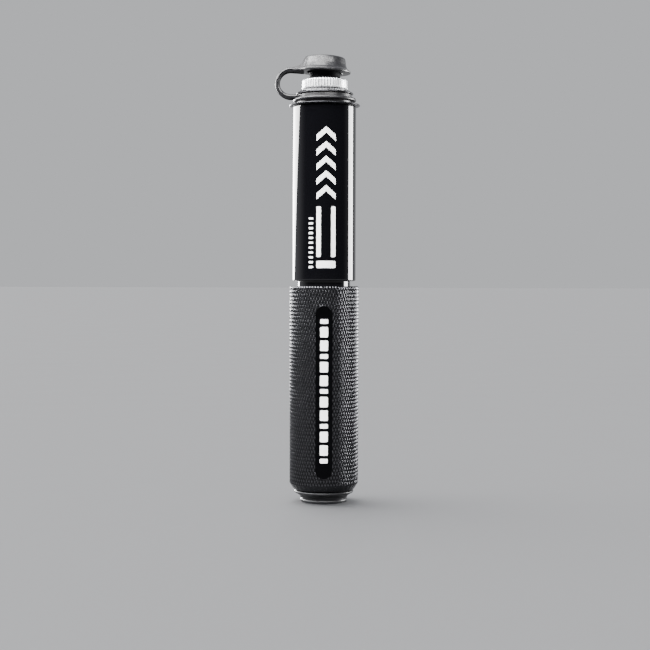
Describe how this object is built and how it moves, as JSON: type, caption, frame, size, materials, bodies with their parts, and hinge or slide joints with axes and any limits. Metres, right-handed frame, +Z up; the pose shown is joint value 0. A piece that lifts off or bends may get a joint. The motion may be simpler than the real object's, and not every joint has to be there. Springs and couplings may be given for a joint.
{
  "type": "bicycle mini pump",
  "caption": "Slim hand pump with a knurled handle over a glossy stepped barrel, a fluted outlet collar, a tethered rubber dust cap and a ridged end plug.",
  "frame": {"origin": "centre of the end plug's foot, on the surface that the pump stands on", "axes": "+Z up along the pump towards the dust cap, -X towards the strap's loop, -Y out of the handle's smooth panel"},
  "size_m": [0.0267, 0.0222, 0.14],
  "materials": {
    "knurled_black": "black anodised, diamond knurl",
    "gloss_black": "high gloss black",
    "satin_black": "black anodised, satin",
    "bright_collar": "polished, fluted",
    "cap_rubber": "satin moulded rubber",
    "plug_rubber": "matt moulded rubber",
    "seal_rubber": "smooth seal rubber",
    "hose_rubber": "extruded hose",
    "rod_metal": "drawn and polished",
    "fitting_metal": "turned",
    "steel": "spring steel",
    "brass": "turned",
    "nylon": "moulded"
  },
  "bodies": {
    "plug_and_hose": {"end_plug": "plug_rubber", "hose_fitting": "brass", "hose_fitting_oring": "seal_rubber", "hose_ferrule_low": "fitting_metal", "hose_tube": "hose_rubber", "hose_ferrule_high": "fitting_metal", "valve_chuck": "fitting_metal", "chuck_seal": "seal_rubber", "bleed_spring": "steel"},
    "bleed_button": {"bleed_button": "fitting_metal"},
    "handle": {"handle_grip": "knurled_black", "rod_anchor": "satin_black", "bumper_ring": "plug_rubber", "piston_rod": "rod_metal", "piston": "nylon"},
    "piston_ring": {"piston_ring": "seal_rubber"},
    "rod_bush": {"rod_bush": "nylon"},
    "barrel": {"barrel": "gloss_black", "gland_nut": "satin_black", "rod_wiper": "seal_rubber", "gland_circlip": "steel", "pump_head": "satin_black", "head_oring": "seal_rubber", "valve_seat": "brass", "valve_spring": "steel", "valve_guide": "brass", "outlet_port": "satin_black"},
    "valve_poppet": {"valve_poppet": "nylon"},
    "outlet_collar": {"outlet_collar": "bright_collar"},
    "tether": {"tether_ring": "cap_rubber", "tether_strap": "cap_rubber"},
    "dust_cap": {"dust_cap": "cap_rubber"}
  },
  "joints": [
    {"name": "handle_lift", "type": "slide", "parent": "plug_and_hose", "child": "handle", "axis": [0, 0, 1], "range_m": [0, 0.13]},
    {"name": "bleed_press", "type": "slide", "parent": "plug_and_hose", "child": "bleed_button", "axis": [-1, 0, 0], "range_m": [0, 0.0005], "stiffness_N_per_m": 150, "springref_m": -0.002, "deforming": ["bleed_spring"]},
    {"name": "piston_ring_float", "type": "slide", "parent": "handle", "child": "piston_ring", "axis": [0, 0, 1], "range_m": [0, 0.0008]},
    {"name": "pump_stroke", "type": "slide", "parent": "handle", "child": "rod_bush", "axis": [0, 0, 1], "range_m": [0, 0.085]},
    {"name": "barrel_turn", "type": "hinge", "parent": "rod_bush", "child": "barrel", "pos_m": [0, 0, 0.01692], "axis": [0, 0, 1], "continuous": true},
    {"name": "poppet_lift", "type": "slide", "parent": "barrel", "child": "valve_poppet", "axis": [0, 0, 1], "range_m": [0, 0.0008], "stiffness_N_per_m": 100, "springref_m": -0.003, "deforming": ["valve_spring"]},
    {"name": "collar_turn", "type": "hinge", "parent": "barrel", "child": "outlet_collar", "pos_m": [0, 0, 0.12967], "axis": [0, 0, 1], "continuous": true},
    {"name": "tether_turn", "type": "hinge", "parent": "barrel", "child": "tether", "pos_m": [0, 0, 0.12492], "axis": [0, 0, 1], "continuous": true},
    {"name": "cap_hinge", "type": "hinge", "parent": "tether", "child": "dust_cap", "pos_m": [-0.015, 0, 0.13162], "axis": [0, -1, 0], "range_deg": [0, 140], "deforming": ["tether_strap"]}
  ]
}
